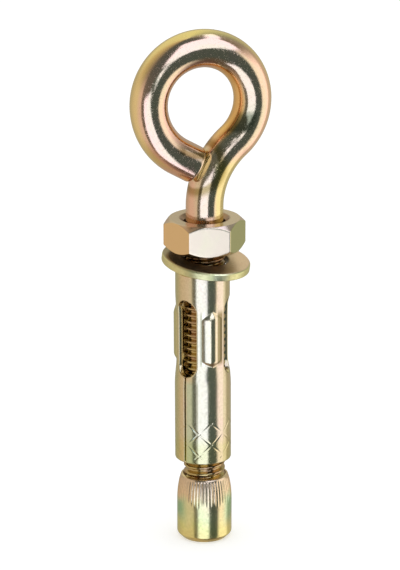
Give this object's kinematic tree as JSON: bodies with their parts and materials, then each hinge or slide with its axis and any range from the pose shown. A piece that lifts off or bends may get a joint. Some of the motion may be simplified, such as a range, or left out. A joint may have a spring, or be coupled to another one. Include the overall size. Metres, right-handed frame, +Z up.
{
  "type": "hook anchor bolt",
  "caption": "Sleeve anchor for masonry with a closed eye: bent eye bolt with hex nut, washer, rolled expansion sleeve and fluted cone nut.",
  "frame": {"origin": "middle of the shank's flat lower end, which is flush with the cone nut's flat base", "axes": "+Z up the shank towards the eye, -Y towards the viewer of the picture, +X to the right"},
  "size_m": [0.0247, 0.0159, 0.0941],
  "materials": {
    "bolt_plating": "bright yellow zinc plating",
    "nut_plating": "satin yellow zinc plating",
    "washer_plating": "satin yellow zinc plating",
    "sleeve_plating": "bright yellow zinc plating",
    "cone_plating": "satin yellow zinc plating"
  },
  "bodies": {
    "sleeve": {"expansion_sleeve": "sleeve_plating"},
    "washer": {"washer": "washer_plating"},
    "nut": {"hex_nut": "nut_plating"},
    "bolt": {"eye_bolt": "bolt_plating"},
    "cone": {"cone_nut": "cone_plating"}
  },
  "joints": [
    {"name": "washer_spin", "type": "hinge", "parent": "sleeve", "child": "washer", "pos_m": [0, 0, 0.0522], "axis": [0, 0, 1], "continuous": true},
    {"name": "nut_turn", "type": "hinge", "parent": "sleeve", "child": "nut", "pos_m": [0, 0, 0.0572], "axis": [0, 0, 1], "range_deg": [-836, 0]},
    {"name": "bolt_draw", "type": "slide", "parent": "sleeve", "child": "bolt", "axis": [0, 0, 1], "range_m": [0, 0.0029]},
    {"name": "cone_turn", "type": "hinge", "parent": "bolt", "child": "cone", "pos_m": [0, 0, 0.006], "axis": [0, 0, 1], "continuous": true}
  ],
  "couplings": [
    {"joint": "nut_turn", "follows": "bolt_draw", "rad_per_m": -5026.5}
  ]
}
